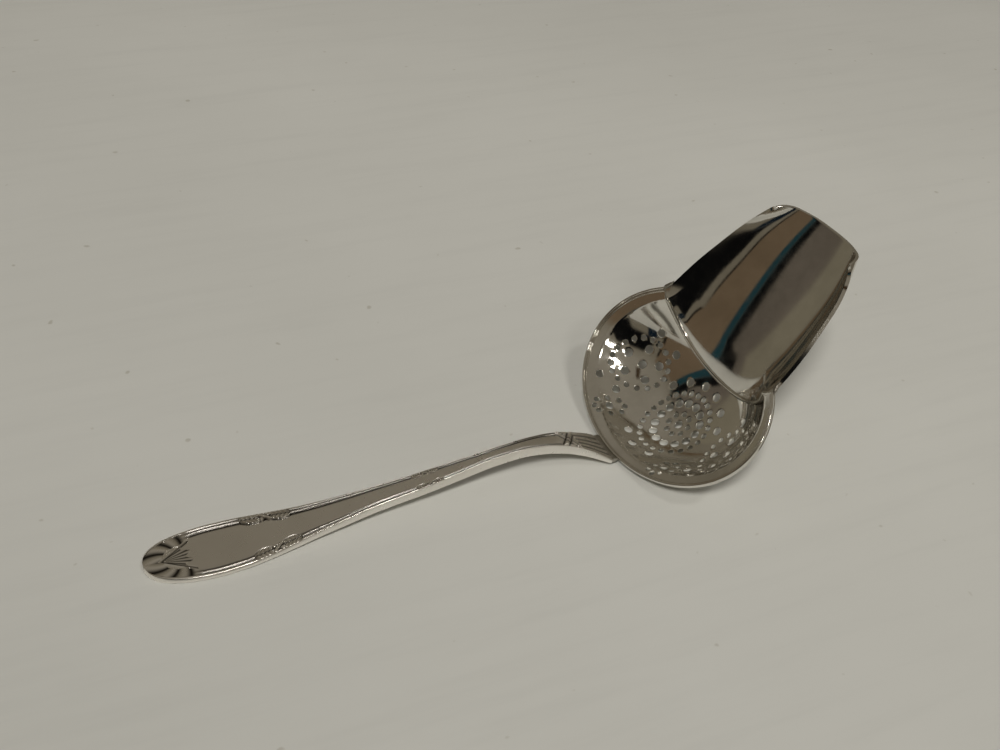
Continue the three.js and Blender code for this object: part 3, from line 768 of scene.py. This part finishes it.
def table():
    """Plain pale table top, far wider than the spoon."""
    mat, tree, shader = new_material("table")
    link = tree.links.new
    coords = node(tree, "ShaderNodeTexCoord")
    cloud = node(tree, "ShaderNodeTexNoise", Scale=7.0, Detail=5.0, Roughness=0.55)
    link(coords.outputs["Object"], cloud.inputs["Vector"])
    tint = ramp(tree, cloud.outputs["Fac"], [(0.3, (0.55, 0.55, 0.515)), (0.7, (0.59, 0.59, 0.555))])
    # faint wiped streaks and small specks, and painted light: the colour grows lighter towards the far
    # right
    place = node(tree, "ShaderNodeMapping")
    place.inputs["Rotation"].default_value = (0, 0, 0.7)
    place.inputs["Scale"].default_value = (14.0, 150.0, 1.0)
    link(coords.outputs["Object"], place.inputs["Vector"])
    streaks = node(tree, "ShaderNodeTexNoise", Scale=1.0, Detail=5.0, Roughness=0.65)
    link(place.outputs["Vector"], streaks.inputs["Vector"])
    wiped = ramp(tree, streaks.outputs["Fac"], [
        (0.30, (0.97, 0.97, 0.97)), (0.5, (1, 1, 1)), (0.75, (1.01, 1.01, 1.01))])
    grains = node(tree, "ShaderNodeTexNoise", Scale=260.0, Detail=1.0, Roughness=0.4)
    link(coords.outputs["Object"], grains.inputs["Vector"])
    specks = ramp(tree, grains.outputs["Fac"], [(0.18, (0.78, 0.76, 0.72)), (0.23, (1, 1, 1))])
    # painted light: the base colour is multiplied from 0.93 to 1.35 towards the far right (+x +y), standing
    # in for brighter lighting there
    split = node(tree, "ShaderNodeSeparateXYZ")
    link(coords.outputs["Object"], split.inputs[0])
    sideways = node(tree, "ShaderNodeMath", operation="ADD")
    link(split.outputs[0], sideways.inputs[0])
    link(split.outputs[1], sideways.inputs[1])
    painted_light_ramp = node(tree, "ShaderNodeMapRange")
    link(sideways.outputs[0], painted_light_ramp.inputs["Value"])
    reach = 0.3
    for key, value in (("From Min", -reach), ("From Max", reach), ("To Min", 0.93), ("To Max", 1.35)):
        painted_light_ramp.inputs[key].default_value = value
    colour = tint.outputs["Color"]
    for other in (wiped.outputs["Color"], specks.outputs["Color"], painted_light_ramp.outputs["Result"]):
        mix = node(tree, "ShaderNodeMix", data_type="RGBA", blend_type="MULTIPLY")
        mix.inputs["Factor"].default_value = 1.0
        link(colour, mix.inputs[6])
        link(other, mix.inputs[7])
        colour = mix.outputs[2]
    link(colour, shader.inputs["Base Color"])
    shader.inputs["Roughness"].default_value = 0.45
    mesh = bpy.data.meshes.new("table")
    r = 3.0
    mesh.from_pydata([(-r, -r, 0), (r, -r, 0), (r, r, 0), (-r, r, 0)], [], [(0, 1, 2, 3)])
    mesh.materials.append(mat)
    obj = bpy.data.objects.new("table", mesh)
    bpy.context.scene.collection.objects.link(obj)


table()


LAMP_AIM = (0.02, 0, 0)
LAMP_COLOUR = (1.0, 0.97, 0.92)


def lamp(name, azimuth, elevation, distance, size, power, mirrored):
    """Lamp at an azimuth from +X and an elevation, in degrees; the silver may mirror it or not."""
    a, e = math.radians(azimuth), math.radians(elevation)
    flat = distance * math.cos(e)
    place = (flat * math.cos(a), flat * math.sin(a), distance * math.sin(e))
    data = bpy.data.lights.new(name, "AREA")
    data.shape = "RECTANGLE"
    data.size, data.size_y = size
    data.energy = power
    data.color = LAMP_COLOUR
    obj = bpy.data.objects.new(name, data)
    bpy.context.scene.collection.objects.link(obj)
    obj.location = place
    obj.rotation_euler = (Vector(LAMP_AIM) - Vector(place)).to_track_quat("-Z", "Y").to_euler()
    obj.visible_glossy = mirrored


lamp("lamp behind low", -92, 44, 1.7, (0.30, 0.09), 2.0, True)
lamp("lamp behind high", -72, 59, 1.5, (0.30, 0.10), 2.5, True)
lamp("lamp right", 40, 70, 1.4, (0.7, 0.5), 0.4, False)
lamp("lamp over the shoulder", -127, 47, 2.2, (0.30, 0.26), 29.0, False)


def room():
    """Surroundings as the silver mirrors them: plain walls with a few darker and lighter patches."""
    world = bpy.data.worlds.new("room")
    bpy.context.scene.world = world
    world.use_nodes = True
    tree = world.node_tree
    link = tree.links.new

    def maths(operation, a, b=0.0, c=0.0):
        n = node(tree, "ShaderNodeMath", operation=operation)
        for i, value in enumerate((a, b, c)):
            if hasattr(value, "is_linked"):
                link(value, n.inputs[i])
            else:
                n.inputs[i].default_value = value
        return n.outputs[0]
    coords = node(tree, "ShaderNodeTexCoord")
    split = node(tree, "ShaderNodeSeparateXYZ")
    link(coords.outputs["Generated"], split.inputs[0])
    azimuth = maths("MULTIPLY", maths("ARCTAN2", split.outputs[1], split.outputs[0]), 180 / math.pi)
    elevation = maths("MULTIPLY", maths("ARCSINE", split.outputs[2]), 180 / math.pi)

    def inside(angle, centre, half, soft, wraps):
        away = maths("SUBTRACT", angle, centre)
        if wraps:
            away = maths("WRAP", away, 180.0, -180.0)
        n = node(tree, "ShaderNodeMapRange", interpolation_type="SMOOTHSTEP")
        link(maths("ABSOLUTE", away), n.inputs["Value"])
        n.inputs["From Min"].default_value = half - soft
        n.inputs["From Max"].default_value = half + soft
        n.inputs["To Min"].default_value = 1.0
        n.inputs["To Max"].default_value = 0.0
        return n.outputs["Result"]
    height = maths("ADD", maths("MULTIPLY", elevation, 1 / 180), 0.5)
    shades = ramp(tree, height, [(0.5, WALL), (0.70, WALL), (0.80, CEILING), (1.0, CEILING)])
    colour = shades.outputs["Color"]
    for centre, half, level, reach, soft, tint in PATCHES:
        sideways = inside(azimuth, centre, half, soft, True)
        mask = maths("MULTIPLY", sideways, inside(elevation, level, reach, 3, False))
        mix = node(tree, "ShaderNodeMix", data_type="RGBA")
        link(mask, mix.inputs["Factor"])
        link(colour, mix.inputs[6])
        mix.inputs[7].default_value = (*tint, 1)
        colour = mix.outputs[2]
    link(colour, tree.nodes["Background"].inputs["Color"])
    # the room fills the table's shadows less than it is mirrored
    path = node(tree, "ShaderNodeLightPath")
    strength = maths("MULTIPLY_ADD", path.outputs["Is Glossy Ray"], 1 - ROOM_FILL, ROOM_FILL)
    link(strength, tree.nodes["Background"].inputs["Strength"])


# share of the room's light that reaches the table
ROOM_FILL = 0.35

# colours of the room, and patches: azimuth, half width, elevation, half height, softness, colour
WALL = (0.135, 0.118, 0.088)
CEILING = (0.20, 0.18, 0.145)
BLACK = (0.003, 0.003, 0.003)
PATCHES = [
    (172, 24, 18, 24, 2.0, (0.112, 0.080, 0.050)),
    (147.4, 3.2, 16, 26, 0.8, (0.010, 0.032, 0.038)),
    (141.2, 3.0, 16, 26, 0.6, BLACK),
    (134.9, 3.2, 16, 26, 0.8, (0.098, 0.082, 0.065)),
    (118, 14, 14, 20, 3.0, (0.155, 0.136, 0.098)),
    (-163.6, 1.6, 16, 18, 0.6, (0.008, 0.006, 0.004)),
    (-128, 25, 24, 13, 1.5, BLACK),
    (-118, 9, 2, 12, 1.5, BLACK),
    (-150, 5.5, 0, 12, 1.0, (0.003, 0.008, 0.014)),
    (-136, 7, 68, 7, 3.0, (0.030, 0.016, 0.006))]
room()

# camera at the photo's angle; angles in radians
CAMERA_PLACE = (-0.1074492, -0.1922557, 0.185832)
PITCH, YAW, ROLL = 0.6206, 0.4991, -0.0901
forward = Vector((math.sin(YAW) * math.cos(PITCH), math.cos(YAW) * math.cos(PITCH), -math.sin(PITCH)))
flat_right = Vector((math.cos(YAW), -math.sin(YAW), 0))
down = forward.cross(flat_right)
right = flat_right * math.cos(ROLL) + down * math.sin(ROLL)
down = -flat_right * math.sin(ROLL) + down * math.cos(ROLL)
camera_data = bpy.data.cameras.new("camera")
camera_data.lens = 46.8
camera_data.sensor_width = 36.0
camera_data.clip_start = 0.01
camera = bpy.data.objects.new("camera", camera_data)
bpy.context.scene.collection.objects.link(camera)
turn = Matrix((right, -down, -forward)).transposed().to_4x4()
camera.matrix_world = Matrix.Translation(Vector(CAMERA_PLACE)) @ turn
bpy.context.scene.camera = camera

bpy.context.scene.view_settings.view_transform = "Standard"
